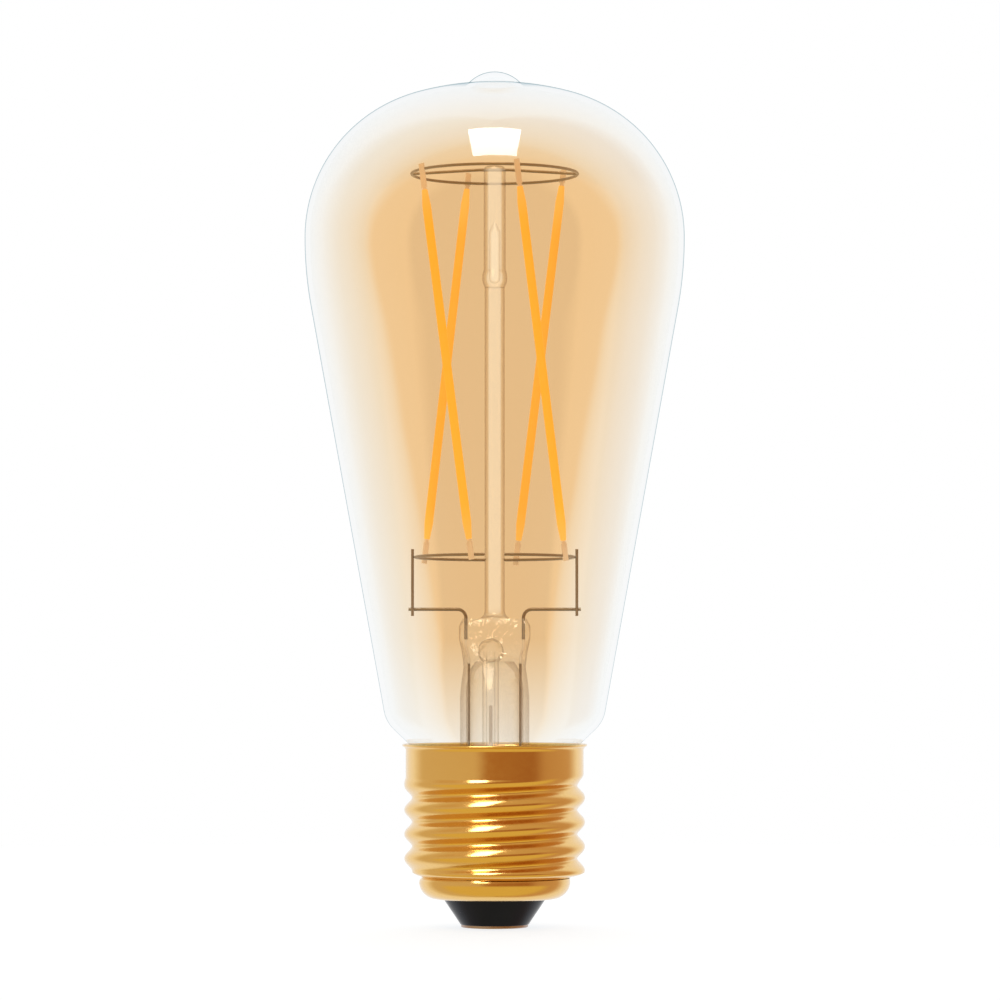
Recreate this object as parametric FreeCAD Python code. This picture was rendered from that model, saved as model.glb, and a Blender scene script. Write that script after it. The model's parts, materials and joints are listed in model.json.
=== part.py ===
"""Filament lamp with a pear-shaped amber envelope, four crossed LED filaments, an E27 screw cap
and a wireless driver inside the cap.

Millimetres. The origin is the middle of the centre contact's flat underside, +Z runs up the
lamp's axis, and -Y is the side with the exhaust port. Each sub-part goes to parts/NODE.step.
"""

import FreeCAD, Part
import math
import os

Vector = FreeCAD.Vector

# --- screw cap (E27) ---
THREAD_MAJOR_R = 13.2
THREAD_MINOR_R = 12.05
THREAD_PITCH = 3.629
THREAD_FIRST_CREST_Z = 8.4  # height of a crest on the +X side
THREAD_START_Z = (6.9, 8.3)  # groove centre height where the groove fades in
THREAD_END_Z = (21.4, 22.8)  # and where it fades out
CAP_WALL = 0.3
CAP_HOLE_R = 7.3
CAP_BOTTOM_Z = 4.55
CAP_SHOULDER_R = 2.3
CAP_BARREL_R = 11.0
CAP_DIP = 0.1  # how far the band under the thread draws in at its top
CAP_DIP_TOP_Z = 7.5
CAP_SWELL_TOP_Z = 8.4
CAP_SKIRT_R = 13.0
CAP_SKIRT_Z = (21.5, 22.3)
CAP_RIM_START_Z = 26.35
CAP_RIM_BEND_R = 0.95
CAP_RIM_ANGLE = 78.0

# --- insulator and centre contact ---
INSULATOR_TIP_R = 5.15
INSULATOR_TIP_Z = 0.4
INSULATOR_EDGE = 0.1
INSULATOR_CONE_R = 7.8
INSULATOR_GAP = 0.02  # between the insulator and the cap it is moulded into
# The insulator spreads inside the cap up to the middle of the shoulder's bend.
INSULATOR_BEND_R = CAP_SHOULDER_R - CAP_WALL - INSULATOR_GAP
INSULATOR_TOP_Z = CAP_BOTTOM_Z + CAP_SHOULDER_R - INSULATOR_BEND_R * math.sin(math.radians(45))
EYELET_R = 1.1
EYELET_BORE_R = 0.6
EYELET_TOP_Z = 5.4
EYELET_FLARE = 0.5
SOLDER_LOW_Z = 0.05
SOLDER_TOP_Z = 1.6
CONTACT_R = 5.0
CONTACT_EDGE_R = 0.15

# --- envelope ---
TOTAL_HEIGHT = 128.2
GLASS_WALL = 0.8
CROWN_TOP_Z = 126.4
SHOULDER_R = 22.3
BELT_R = 58.0
MAX_R = 28.5
MAX_R_Z = 103.2
# The crown's radius that makes it touch the shoulder: (R - s)^2 = a^2 + (R - d)^2.
CROWN_DROP = CROWN_TOP_Z - MAX_R_Z
CROWN_R = ((MAX_R - SHOULDER_R) ** 2 + CROWN_DROP**2 - SHOULDER_R**2) / (2 * (CROWN_DROP - SHOULDER_R))
TAPER_ANGLE = 10.3
HEEL_START_Z = 32.2
HEEL_R = 5.0
HEEL_ANGLE = 46.0
NECK_R = 11.6
NECK_BEND_R = 1.5
NECK_END_Z = 22.3
TIP_R = 5.4
TIP_FILLET_R = 0.7

# --- glass stem ---
FLARE_WALL = 0.9
STEM_R = 5.2
STEM_BORE_R = STEM_R - FLARE_WALL
FLARE_BEND_R = 4.6
STEM_BORE_TOP_Z = 39.6
STEM_BORE_END = ((STEM_BORE_R, 35.5), (3.9, 38.0), (2.9, STEM_BORE_TOP_Z), (0.0, STEM_BORE_TOP_Z))
STEM_BORE_FLAT = 5.2  # thickness of the bore in the flattened stretch under the press
STEM_BORE_FLAT_Z = 37.0
PRESS_TOP_Z = 46.0
# height, half width across X, half depth across Y, squareness (2 is an ellipse)
PRESS_STATIONS = (
    (34.5, 5.20, 5.20, 2.0),
    (36.5, 5.00, 4.90, 2.0),
    (38.8, 4.65, 3.90, 2.2),
    (41.0, 4.90, 2.60, 2.8),
    (43.0, 5.35, 2.10, 3.2),
    (45.0, 5.35, 1.95, 3.2),
    (46.0, 4.75, 1.70, 2.8),
)
EXHAUST_X = -0.6
EXHAUST_R = 1.25
EXHAUST_BORE_R = 0.7
EXHAUST_TIP_Z = 18.6
EXHAUST_TIP_LENGTH = 2.4
EXHAUST_NIB_R = 0.35
PORT_R = 1.95
PORT_Z = 41.1
PORT_Y = -1.6
ROD_R = 1.5
ROD_FOOT_R = 1.65
ROD_FOOT_FLARE_R = 1.2
ROD_JOINT_Z = 95.7
ROD_TOP_Z = 114.0
ROD_TIP_R = 1.65
ROD_JOINT_BULGE = 0.18
ROD_BULGE_RISE = 0.9  # middle of the swelling above the joint
ROD_BULGE_TOP = 2.6
ROD_TOP_EDGE_R = 0.7
ROD_CAVITY_RISE = 0.6
ROD_CAVITY_R = 0.85
ROD_CAVITY_TOP_Z = 105.8

# --- support wires ---
WIRE_R = 0.22
TOP_RING_R = 12.45
TOP_RING_Z = 112.8
TOP_RING_TILT = 0.3  # front of the ring raised, degrees
LOW_RING_R = 11.86
LOW_RING_Z = 55.2
LOW_RING_TILT = 0.7
LOW_RING_GAP = 7.0  # half of the gap between the two half rings, degrees
ARM_CENTRE_Z = 113.4
POST_LOW_Z = 46.4
POST_TOP_Z = 56.4
LEAD_Z = 47.4
LEAD_R = 0.25
LEAD_X = 4.3
LEAD_END_X = 12.9
LEAD_BEND_R = 1.3
LEAD_WELD_Z = 42.9
DUMET_R = 0.17
DUMET_END_Z = 39.3
OUTER_LEAD_X = 3.85
OUTER_LEAD_R = 0.2

# --- LED filaments ---
# Bare tab from the lower weld to the coat, the same at the upper weld, and the upper tab's free end.
FRONT_TABS = (2.3, 3.3, 0.75)
BACK_TABS = (3.0, 0.9, 1.6)
# Angle of each filament's upper and lower weld round the axis, degrees from +X, and its tabs.
FILAMENTS = (
    (212.5, 253.5, FRONT_TABS),
    (285.0, 329.0, FRONT_TABS),
    (36.5, 74.5, BACK_TABS),
    (109.0, 150.0, BACK_TABS),
)
TAB_WIDTH = 0.9
TAB_THICK = 0.24
TAB_PAST_RING = 0.75
WELD_OFFSET = 0.02
TAB_IN_COAT = 1.6
TAB_NECK_OUT = 0.4  # how far the narrow part of a tab shows outside the coat
TAB_NECK_WIDTH = 0.56
COAT_R = 0.65
COAT_TIP_R = 0.42
COAT_TAPER = 2.4
STRIP_WIDTH = 0.8
STRIP_THICK = 0.3
CHIP_COUNT = 26
CHIP_SIZE = (0.4, 0.14, 0.9)
CHIP_PITCH = 1.8

# --- driver inside the cap ---
SLEEVE_R = 10.75
SLEEVE_WALL = 0.4
SLEEVE_TOP_Z = 20.2
SLEEVE_HOLE_R = 1.4
SLEEVE_CONE_RUN = 2.6  # the sleeve narrows to its floor over this width
SLEEVE_CONE_RISE = 4.2
BOARD_R = 10.25
BOARD_Z = 14.0
BOARD_THICK = 1.0
BOARD_TOP_Z = BOARD_Z + BOARD_THICK
RADIO_BOX = (11.0, 7.4, 0.8)
RADIO_Y = -8.4
SHIELD_BOX = (7.4, 5.6, 1.5)
SHIELD_WALL = 0.2
SHIELD_EDGE = 0.15
SHIELD_X = -1.2
# size, and offset from the shield's middle
RADIO_CHIPS = (((4.0, 4.0, 0.75), -1.2), ((1.6, 1.2, 0.5), 2.2))
FLASH_BOX = (1.6, 3.0, 0.8)
FLASH_X = 4.0
ANTENNA_Y = 2.5
ANTENNA_TOP_Z = 33.0
ANTENNA_R = 0.28
HOOKUP_R = 0.35
HOOKUP_BEND_R = 1.0
LIVE_LANDING = (2.2, -6.0)
LIVE_BEND_Z = 8.0
LIVE_KNEE_Z = 10.4
NEUTRAL_Y = 9.4
NEUTRAL_REACH = 12.6
CHOKE_XY = (5.4, 3.2)
CHOKE_HEIGHT = 5.2
CHOKE_FLANGE_R = 3.2
CHOKE_FLANGE_THICK = 1.0
CHOKE_WAIST_R = 1.5
CHOKE_WINDING_R = 2.9
CAN_XY = (-5.4, 3.7)
CAN_R = 3.15
CAN_HEIGHT = 5.2
CAN_WALL = 0.4
CAN_EDGE = 0.3
CAN_BEAD_R = 0.35
CAN_BEAD_DEPTH = 0.25
CAN_BEAD_DROP = 0.55
CAN_LIP_GAP = 0.2
BUNG_DEPTH = 1.0
FUSE_Y = -7.6
FUSE_R = 1.1
FUSE_LENGTH = 5.2
FUSE_DROP = 2.2
FUSE_EDGE_R = 0.3
FUSE_LEG_R = 0.25
FUSE_LEG_REACH = 1.4
FUSE_LEG_BEND_R = 0.6
# size, then x and y of its middle
RECTIFIER = ((4.7, 3.9, 1.5), -0.1, -3.2)
CONTROLLER = ((4.9, 3.9, 1.4), -6.0, -3.6)
SWITCH = ((3.0, 1.7, 1.1), 6.4, -3.4)
PACKAGE_EDGE = 0.12
SMALL_CHIP = (1.6, 0.8, 0.5)
SMALL_CHIP_PLACES = ((0.2, 1.0), (0.2, 3.0), (0.2, 5.0), (0.2, 7.0), (4.0, -0.9), (-3.2, -0.6))
TOP_CHIP = (2.0, 1.25, 0.8)
TOP_CHIP_X = (-4.0, -1.2, 4.6)
TOP_CHIP_Y = 6.4
CEMENT_LOW_Z = 22.8
CEMENT_NECK_Z = 25.4  # where the cement leaves the glass, which turns outwards there
CEMENT_TOP_Z = 26.1
CEMENT_TOP_GAP = 0.2

AXIS = Vector(0, 0, 1)
ORIGIN = Vector(0, 0, 0)


# ---------- helpers ----------


def export(node, *solids):
    """Writes one sub-part, which may be a group of separate solids."""
    shape = solids[0] if len(solids) == 1 else Part.makeCompound(list(solids))
    for solid in shape.Solids:
        if not solid.isValid() or solid.Volume <= 0:
            raise ValueError(f"{node} holds a solid that isn't sound")
    shape.exportStep(f"parts/{node}.step")
    print(f"{node}: {len(shape.Solids)} solid(s), {shape.Volume:.2f} mm3")


def polar(radius, angle, z=0.0):
    a = math.radians(angle)
    return Vector(radius * math.cos(a), radius * math.sin(a), z)


def in_section(r, z):
    """A point of an outline that is revolved about Z."""
    return Vector(r, 0, z)


def on_circle(centre, radius, angle):
    """A point of a circle in the XZ plane; angle 0 points along +X and 90 along +Z."""
    a = math.radians(angle)
    return centre + Vector(radius * math.cos(a), 0, radius * math.sin(a))


def line(start, end):
    return Part.LineSegment(start, end).toShape()


def arc(centre, radius, start, end):
    middle = on_circle(centre, radius, (start + end) / 2)
    points = (on_circle(centre, radius, start), middle, on_circle(centre, radius, end))
    return Part.Arc(*points).toShape()


def polyline(points):
    return [line(a, b) for a, b in zip(points, points[1:])]


def revolve(edges):
    """Turns a closed XZ outline all the way round the Z axis."""
    outline = Part.Wire(Part.__sortEdges__(edges))
    return Part.Face(outline).revolve(ORIGIN, AXIS, 360).Solids[0]


def revolve_points(points):
    corners = [in_section(*p) for p in points]
    return revolve(polyline(corners + corners[:1]))


def cylinder(radius, low, high, x=0.0, y=0.0):
    return Part.makeCylinder(radius, high - low, Vector(x, y, low))


def ring(outer, inner, low, high):
    return cylinder(outer, low, high).cut(cylinder(inner, low, high))


def block(size, centre_x, centre_y, low_z, edge=0.0):
    length, width, height = size
    corner = Vector(centre_x - length / 2, centre_y - width / 2, low_z)
    box = Part.makeBox(length, width, height, corner)
    return box.makeFillet(edge, box.Edges) if edge else box


def rounded_path(points, bend):
    """A wire of straight runs joined by tangent arcs of one radius."""
    edges = []
    start = points[0]
    for before, corner, after in zip(points, points[1:], points[2:]):
        way_in = (corner - before).normalize()
        way_out = (after - corner).normalize()
        turn = way_in.getAngle(way_out)
        trim = bend * math.tan(turn / 2)
        entry = corner - way_in * trim
        leave = corner + way_out * trim
        inward = (way_out - way_in).normalize()
        middle = corner + inward * (bend / math.cos(turn / 2) - bend)
        if (entry - start).Length > 1e-6:
            edges.append(line(start, entry))
        edges.append(Part.Arc(entry, middle, leave).toShape())
        start = leave
    edges.append(line(start, points[-1]))
    return Part.Wire(edges)


def bent_wire(points, radius, bend=LEAD_BEND_R):
    """A round wire along the points, with its corners bent to one radius."""
    path = rounded_path(points, bend)
    section = Part.Circle(points[0], points[1] - points[0], radius).toShape()
    return path.makePipeShell([Part.Wire(section)], True, False).Solids[0]


def straight_wire(start, end, radius):
    along = end - start
    return Part.makeCylinder(radius, along.Length, start, along)


def smooth_step(value, low, high):
    t = min(1.0, max(0.0, (value - low) / (high - low)))
    return t * t * (3 - 2 * t)


def round_surface(rows):
    """A smooth surface through rows of poles, closed round the axis. Each row is one turn."""
    across, along, degree = len(rows[0]), len(rows), 3
    end_knots = [degree + 1] + [1] * (along - degree - 1) + [degree + 1]
    surface = Part.BSplineSurface()
    surface.buildFromPolesMultsKnots(
        [list(column) for column in zip(*rows)],
        [1] * (across + 1),
        end_knots,
        list(range(across + 1)),
        list(range(len(end_knots))),
        True,
        False,
        degree,
        degree,
    )
    return surface


def edge_loops(face):
    """The lower and the upper closed edge of a face that runs round the axis."""
    loops = [e for e in face.Edges if e.isClosed()]
    return sorted(loops, key=lambda e: e.BoundBox.ZMin + e.BoundBox.ZMax)


def sewn(faces):
    shell = Part.makeShell(faces)
    shell.sewShape()
    solid = Part.makeSolid(shell.Shells[0] if shell.ShapeType != "Shell" else shell)
    return solid if solid.Volume > 0 else solid.reversed()


def tilted(shape, centre_z, degrees):
    """Leans a shape about the X axis through the lamp's axis, front up for plus."""
    shape.rotate(Vector(0, 0, centre_z), Vector(1, 0, 0), -degrees)
    return shape


# ---------- envelope and glass stem ----------


def beside(radius, drop):
    """Half the chord of a circle at a distance from its centre."""
    return math.sqrt(radius**2 - drop**2)


def envelope_outline(inset):
    """The envelope's edges from the tip to the neck's end, moved inwards by inset."""
    tip_r, tip_z = TIP_R - inset, TOTAL_HEIGHT - TIP_R
    crown_r, crown_z = CROWN_R - inset, CROWN_TOP_Z - CROWN_R
    fillet_r = TIP_FILLET_R + inset
    # The fillet's centre is a fillet outside the tip and the crown alike.
    near, far, apart = tip_r + fillet_r, crown_r + fillet_r, tip_z - crown_z
    rise = (far**2 - near**2 - apart**2) / (2 * apart)
    fillet = in_section(beside(near, rise), tip_z + rise)
    tip, crown = in_section(0, tip_z), in_section(0, crown_z)
    shoulder = in_section(MAX_R - SHOULDER_R, MAX_R_Z)
    belt = in_section(MAX_R - BELT_R, MAX_R_Z)
    shoulder_r, belt_r, heel_r = SHOULDER_R - inset, BELT_R - inset, HEEL_R - inset
    neck_r, neck_bend_r = NECK_R - inset, NECK_BEND_R + inset

    fillet_angle = math.degrees(math.atan2(rise, fillet.x))
    crown_meets_fillet = math.degrees(math.atan2(fillet.z - crown_z, fillet.x))
    crown_end = math.degrees(math.atan2(MAX_R_Z - crown_z, MAX_R - SHOULDER_R))
    taper_top = on_circle(belt, belt_r, -TAPER_ANGLE)
    outer_belt_end = on_circle(belt, BELT_R, -TAPER_ANGLE)
    taper = math.tan(math.radians(TAPER_ANGLE))
    outer_heel_r = outer_belt_end.x - (outer_belt_end.z - HEEL_START_Z) * taper
    heel = on_circle(in_section(outer_heel_r, HEEL_START_Z), HEEL_R, 180 - TAPER_ANGLE)
    heel_top = on_circle(heel, heel_r, -TAPER_ANGLE)
    heel_low = on_circle(heel, heel_r, -HEEL_ANGLE)
    # The neck bend touches the cone below the heel and the neck's straight wall.
    slope = math.radians(HEEL_ANGLE)
    bend_x = neck_r + neck_bend_r
    bend_z = heel_low.z - (neck_bend_r - (bend_x - heel_low.x) * math.cos(slope)) / math.sin(slope)
    bend = in_section(bend_x, bend_z)
    cone_low = on_circle(bend, neck_bend_r, 180 - HEEL_ANGLE)
    neck_top = on_circle(bend, neck_bend_r, 180)
    neck_end = in_section(neck_r, NECK_END_Z)
    edges = [
        arc(tip, tip_r, 90, fillet_angle),
        arc(fillet, fillet_r, 180 + fillet_angle, 180 + crown_meets_fillet),
        arc(crown, crown_r, crown_meets_fillet, crown_end),
        arc(shoulder, shoulder_r, crown_end, 0),
        arc(belt, belt_r, 0, -TAPER_ANGLE),
        line(taper_top, heel_top),
        arc(heel, heel_r, -TAPER_ANGLE, -HEEL_ANGLE),
        line(heel_low, cone_low),
        arc(bend, neck_bend_r, 180 - HEEL_ANGLE, 180),
        line(neck_top, neck_end),
    ]
    return edges, on_circle(tip, tip_r, 90), neck_end


def make_envelope():
    outside, top_out, end_out = envelope_outline(0.0)
    inside, top_in, end_in = envelope_outline(GLASS_WALL)
    return revolve(outside + inside + [line(top_out, top_in), line(end_out, end_in)])


def press_size(z):
    """Half width, half depth and squareness of the stem at a height."""
    for low, high in zip(PRESS_STATIONS, PRESS_STATIONS[1:]):
        if z <= high[0]:
            share = (z - low[0]) / (high[0] - low[0])
            return [a + (b - a) * share for a, b in zip(low[1:], high[1:])]
    return PRESS_STATIONS[-1][1:]


def stem_row(z, half_x, half_y, squareness, count=48):
    """One level of the stem: a superellipse, which is a circle at squareness 2."""
    row = []
    for k in range(count):
        a = 2 * math.pi * k / count
        c, s = math.cos(a), math.sin(a)
        reach = (abs(c) ** squareness + abs(s) ** squareness) ** (-1 / squareness)
        row.append(Vector(half_x * reach * c, half_y * reach * s, z))
    return row


def make_stem(cutters):
    """Flare, stem tube and press in one piece of glass, cut out round what is sealed in it."""
    bend_z = NECK_END_Z + FLARE_BEND_R
    low_z = NECK_END_Z - FLARE_WALL
    steps = 12
    levels = [(NECK_R, low_z), (NECK_R, low_z + FLARE_WALL / 2), (NECK_R, NECK_END_Z)]
    levels.append(((NECK_R + STEM_R + FLARE_BEND_R) / 2, NECK_END_Z))
    for k in range(steps + 1):
        a = math.pi / 2 * k / steps
        turn_in = STEM_R + FLARE_BEND_R * (1 - math.sin(a))
        levels.append((turn_in, bend_z - FLARE_BEND_R * math.cos(a)))
    rows = [stem_row(z, r, r, 2.0) for r, z in levels]
    z, step = bend_z + 1.0, 0.5
    while z < PRESS_TOP_Z - step / 2:
        size = press_size(z) if z > PRESS_STATIONS[0][0] else (STEM_R, STEM_R, 2.0)
        rows.append(stem_row(z, *size))
        z += step
    rows.append(stem_row(PRESS_TOP_Z, *PRESS_STATIONS[-1][1:]))
    skin = round_surface(rows).toShape()
    foot, top = edge_loops(skin)
    solid = sewn([skin, Part.Face(Part.Wire(foot)), Part.Face(Part.Wire(top))])
    bore_bend = in_section(STEM_R + FLARE_BEND_R, bend_z)
    bore = [
        line(in_section(0, low_z), in_section(bore_bend.x, low_z)),
        arc(bore_bend, FLARE_BEND_R + FLARE_WALL, -90, -180),
        *polyline([in_section(STEM_BORE_R, bend_z)] + [in_section(*p) for p in STEM_BORE_END]),
        line(in_section(0, STEM_BORE_TOP_Z), in_section(0, low_z)),
    ]
    reach = 4 * NECK_R
    narrow = block((reach, STEM_BORE_FLAT, STEM_BORE_TOP_Z), 0, 0, 0)
    wide = block((reach, reach, STEM_BORE_FLAT_Z), 0, 0, 0)
    cavity = revolve(bore).common(narrow.fuse(wide))
    port = Part.makeSphere(PORT_R, Vector(EXHAUST_X, PORT_Y, PORT_Z))
    channel = cylinder(EXHAUST_BORE_R, STEM_BORE_TOP_Z, PORT_Z, EXHAUST_X, 0)
    for tool in [cavity, port, channel] + cutters:
        solid = solid.cut(tool)
    return solid.Solids[0]


def make_exhaust_tube():
    """Thin tube under the press, melted shut at its lower end."""
    length = STEM_BORE_TOP_Z - EXHAUST_TIP_Z
    outside = [(0, 0), (EXHAUST_NIB_R, 0), (EXHAUST_R, EXHAUST_TIP_LENGTH), (EXHAUST_R, length)]
    cone_low = EXHAUST_TIP_LENGTH - EXHAUST_NIB_R
    bore = [(EXHAUST_BORE_R, length), (EXHAUST_BORE_R, cone_low + 2 * EXHAUST_NIB_R), (0, cone_low)]
    tube = revolve_points(outside + bore)
    tube.translate(Vector(EXHAUST_X, 0, EXHAUST_TIP_Z))
    return tube


def make_rod():
    """Glass rod that stands on the press, with a spread foot."""
    foot = in_section(ROD_R + ROD_FOOT_FLARE_R, PRESS_TOP_Z + ROD_FOOT_FLARE_R)
    angle = math.degrees(math.asin(1 - (ROD_FOOT_R - ROD_R) / ROD_FOOT_FLARE_R))
    start = on_circle(foot, ROD_FOOT_FLARE_R, 270 - (90 - angle))
    edges = [
        line(in_section(0, PRESS_TOP_Z), in_section(start.x, PRESS_TOP_Z)),
        line(in_section(start.x, PRESS_TOP_Z), start),
        arc(foot, ROD_FOOT_FLARE_R, 180 + angle, 180),
        line(in_section(ROD_R, foot.z), in_section(ROD_R, ROD_JOINT_Z)),
        line(in_section(ROD_R, ROD_JOINT_Z), in_section(0, ROD_JOINT_Z)),
        line(in_section(0, ROD_JOINT_Z), in_section(0, PRESS_TOP_Z)),
    ]
    return revolve(edges)


def make_rod_tip(cutters):
    """Hollow tip of the rod, with a swelling where it was melted on and the arm sealed in its top."""
    bulge_r = ROD_TIP_R + ROD_JOINT_BULGE
    foot = in_section(ROD_R, ROD_JOINT_Z)
    bulge_top = in_section(ROD_TIP_R, ROD_JOINT_Z + ROD_BULGE_TOP)
    top = in_section(ROD_TIP_R - ROD_TOP_EDGE_R, ROD_TOP_Z - ROD_TOP_EDGE_R)
    swelling = Part.Arc(foot, in_section(bulge_r, ROD_JOINT_Z + ROD_BULGE_RISE), bulge_top)
    outside = [
        line(in_section(0, ROD_JOINT_Z), foot),
        swelling.toShape(),
        line(bulge_top, in_section(ROD_TIP_R, top.z)),
        arc(top, ROD_TOP_EDGE_R, 0, 90),
        line(in_section(top.x, ROD_TOP_Z), in_section(0, ROD_TOP_Z)),
        line(in_section(0, ROD_TOP_Z), in_section(0, ROD_JOINT_Z)),
    ]
    cavity_low = in_section(0, ROD_JOINT_Z + ROD_CAVITY_RISE + ROD_CAVITY_R)
    cavity_high = in_section(0, ROD_CAVITY_TOP_Z - 2 * ROD_CAVITY_R)
    cavity = [
        arc(cavity_low, ROD_CAVITY_R, -90, 0),
        line(in_section(ROD_CAVITY_R, cavity_low.z), in_section(ROD_CAVITY_R, cavity_high.z)),
        line(in_section(ROD_CAVITY_R, cavity_high.z), in_section(0, ROD_CAVITY_TOP_Z)),
        line(in_section(0, ROD_CAVITY_TOP_Z), in_section(0, cavity_low.z - ROD_CAVITY_R)),
    ]
    solid = revolve(outside).cut(revolve(cavity))
    for tool in cutters:
        solid = solid.cut(tool)
    return solid.Solids[0]


# ---------- wires ----------


def make_top_ring():
    return tilted(Part.makeTorus(TOP_RING_R, WIRE_R, Vector(0, 0, TOP_RING_Z)), TOP_RING_Z, TOP_RING_TILT)


def make_top_arm(ring_wire):
    """Cross wire from one side of the upper ring to the other, sealed in the rod's tip."""
    reach, flat = TOP_RING_R - WIRE_R / 2, ROD_TIP_R + 0.6
    points = [
        Vector(-reach, 0, TOP_RING_Z),
        Vector(-flat, 0, ARM_CENTRE_Z),
        Vector(flat, 0, ARM_CENTRE_Z),
        Vector(reach, 0, TOP_RING_Z),
    ]
    return bent_wire(points, WIRE_R, 2.0).cut(ring_wire).Solids[0]


def make_low_ring(start_angle):
    outline = Part.Circle(Vector(LOW_RING_R, 0, LOW_RING_Z), Vector(0, 1, 0), WIRE_R).toShape()
    section = Part.Face(Part.Wire(outline))
    section.rotate(ORIGIN, AXIS, start_angle)
    half = section.revolve(ORIGIN, AXIS, 180 - 2 * LOW_RING_GAP).Solids[0]
    return tilted(half, LOW_RING_Z, LOW_RING_TILT)


def make_post(side):
    """Upright wire between a lead and its half ring, welded to the front of the lead."""
    y = -(LEAD_R + WIRE_R)
    x = side * beside(LOW_RING_R + 2 * WIRE_R, y)
    return straight_wire(Vector(x, y, POST_LOW_Z), Vector(x, y, POST_TOP_Z), WIRE_R)


def make_lead(side):
    points = [
        Vector(side * LEAD_END_X, 0, LEAD_Z),
        Vector(side * LEAD_X, 0, LEAD_Z),
        Vector(side * LEAD_X, 0, LEAD_WELD_Z),
    ]
    return bent_wire(points, LEAD_R)


def make_dumet(side):
    """Copper-clad stretch of a lead, which seals to the glass of the press."""
    start = Vector(side * LEAD_X, 0, LEAD_WELD_Z)
    mid = Vector(side * LEAD_X, 0, LEAD_WELD_Z - 1.2)
    knee = Vector(side * OUTER_LEAD_X, 0, DUMET_END_Z + 1.0)
    end = Vector(side * OUTER_LEAD_X, 0, DUMET_END_Z)
    return bent_wire([start, mid, knee, end], DUMET_R, 1.5)


def make_outer_lead(side):
    top = Vector(side * OUTER_LEAD_X, 0, DUMET_END_Z)
    return straight_wire(top, Vector(top.x, 0, BOARD_Z - 0.6), OUTER_LEAD_R)


# ---------- LED filaments ----------


def on_tilted_ring(radius, angle, z, tilt):
    point = polar(radius, angle, z)
    point.z = z - point.y * math.tan(math.radians(tilt))
    return point


def filament_frame(upper_angle, lower_angle):
    """Placement of a filament whose own Z runs up from its lower weld, and its weld-to-weld length."""
    outside = WIRE_R + TAB_THICK / 2 + WELD_OFFSET
    upper = on_tilted_ring(TOP_RING_R + outside, upper_angle, TOP_RING_Z, TOP_RING_TILT)
    lower = on_tilted_ring(LOW_RING_R + outside, lower_angle, LOW_RING_Z, LOW_RING_TILT)
    up = (upper - lower).normalize()
    middle = (upper + lower) / 2
    outward = Vector(middle.x, middle.y, 0)
    outward = (outward - up * outward.dot(up)).normalize()
    across = outward.cross(up)
    rotation = FreeCAD.Rotation(across, outward, up, "ZXY")
    return FreeCAD.Placement(lower, rotation), (upper - lower).Length


def in_place(shape, placement):
    moved = shape.copy()
    moved.Placement = placement.multiply(moved.Placement)
    return moved


def make_tab(tip, strip_end):
    """Flat tab from its free tip to the end of the strip, narrower from just outside the coat on."""
    buried = TAB_IN_COAT + TAB_NECK_OUT
    shoulder = strip_end - buried if tip < strip_end else strip_end + buried
    blade = block((TAB_WIDTH, TAB_THICK, abs(shoulder - tip)), 0, 0, min(tip, shoulder))
    neck = block((TAB_NECK_WIDTH, TAB_THICK, buried), 0, 0, min(shoulder, strip_end))
    return blade.fuse(neck).removeSplitter().Solids[0]


def make_filament(upper_angle, lower_angle, bare_tabs, ring_wires):
    """Strip, row of chips, two end tabs and the phosphor coat of one filament."""
    placement, length = filament_frame(upper_angle, lower_angle)
    lower_bare, upper_bare, upper_end = bare_tabs
    low, high = lower_bare, length - upper_bare
    strip_low, strip_high = low + TAB_IN_COAT, high - TAB_IN_COAT
    strip = block((STRIP_WIDTH, STRIP_THICK, strip_high - strip_low), 0, 0, strip_low)
    tabs = [make_tab(-TAB_PAST_RING, strip_low), make_tab(length + upper_end, strip_high)]
    middle = (strip_low + strip_high) / 2
    first = middle - CHIP_PITCH * (CHIP_COUNT - 1) / 2 - CHIP_SIZE[2] / 2
    chip_y = (STRIP_THICK + CHIP_SIZE[1]) / 2
    chips = [block(CHIP_SIZE, 0, chip_y, first + k * CHIP_PITCH) for k in range(CHIP_COUNT)]
    outline = [(0, low), (COAT_TIP_R, low), (COAT_R, low + COAT_TAPER)]
    outline += [(COAT_R, high - COAT_TAPER), (COAT_TIP_R, high), (0, high)]
    coat = revolve_points(outline)
    for tool in [strip] + tabs + chips:
        coat = coat.cut(tool)
    return {
        "strip": [in_place(strip, placement)],
        "tabs": [in_place(t, placement).cut(ring_wires).Solids[0] for t in tabs],
        "chips": [in_place(c, placement) for c in chips],
        "phosphor": [in_place(coat.Solids[0], placement)],
    }


# ---------- cap ----------


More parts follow.
